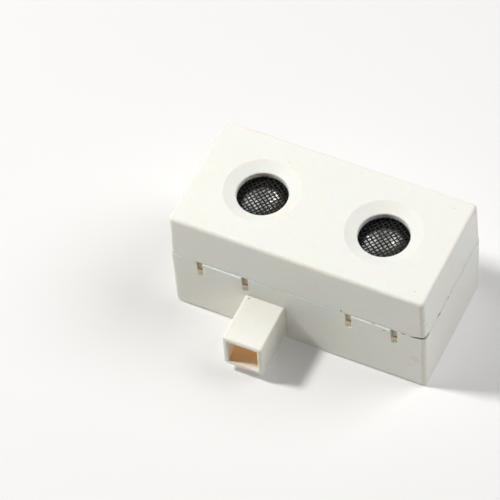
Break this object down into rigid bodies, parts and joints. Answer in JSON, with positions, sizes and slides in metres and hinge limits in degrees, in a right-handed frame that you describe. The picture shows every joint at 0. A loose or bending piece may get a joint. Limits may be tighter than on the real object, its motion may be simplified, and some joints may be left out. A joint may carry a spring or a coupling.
{
  "type": "ultrasonic distance sensor",
  "caption": "Two-shell box sensor with a pair of dished round apertures over mesh grilles and a square plug-in stem on one long side.",
  "frame": {"origin": "centre of the flat rear face, which is opposite the two apertures", "axes": "+Z points the way the sensor looks, +X runs along the long side from the transmitter to the receiver, and the square stem points along -Y"},
  "size_m": [0.06, 0.0423, 0.0295],
  "materials": {
    "ivory_plastic": "fine satin moulded ABS",
    "board": "green solder mask",
    "plated_steel": "zinc plated",
    "transducer_aluminium": "drawn, satin",
    "cone_aluminium": "bright spun",
    "black_wire_cloth": "black painted woven wire",
    "piezo_ceramic": "matt ceramic",
    "silicone": "soft silicone",
    "black_plastic": "moulded phenolic",
    "tinned_pins": "tinned",
    "black_rubber": "matt rubber",
    "chip_plastic": "moulded epoxy",
    "can_steel": "plated can",
    "ceramic_tan": "fired ceramic",
    "resistor_black": "glazed",
    "connector_plastic": "moulded nylon",
    "contact_brass": "bright brass"
  },
  "bodies": {
    "base": {"rear_base": "ivory_plastic", "circuit_board": "board", "board_screws": "plated_steel", "transmitter_can": "transducer_aluminium", "transmitter_grille": "black_wire_cloth", "transmitter_cone": "cone_aluminium", "transmitter_bender_plate": "transducer_aluminium", "transmitter_piezo_disc": "piezo_ceramic", "transmitter_support_ring": "silicone", "transmitter_base_plug": "black_plastic", "transmitter_pins": "tinned_pins", "transmitter_sleeve": "black_rubber", "receiver_can": "transducer_aluminium", "receiver_grille": "black_wire_cloth", "receiver_cone": "cone_aluminium", "receiver_bender_plate": "transducer_aluminium", "receiver_piezo_disc": "piezo_ceramic", "receiver_support_ring": "silicone", "receiver_base_plug": "black_plastic", "receiver_pins": "tinned_pins", "receiver_sleeve": "black_rubber", "microcontroller": "chip_plastic", "echo_amplifier": "chip_plastic", "pulse_driver": "chip_plastic", "chip_leads": "tinned_pins", "crystal": "can_steel", "drive_transformer": "can_steel", "electrolytic_capacitors": "transducer_aluminium", "ceramic_capacitors": "ceramic_tan", "resistors": "resistor_black", "connector_housing": "connector_plastic", "connector_pins": "contact_brass"},
    "cover": {"front_cover": "ivory_plastic"}
  },
  "joints": [
    {"name": "cover_lift", "type": "slide", "parent": "base", "child": "cover", "axis": [0, 0, 1], "range_m": [0, 0.03]}
  ]
}
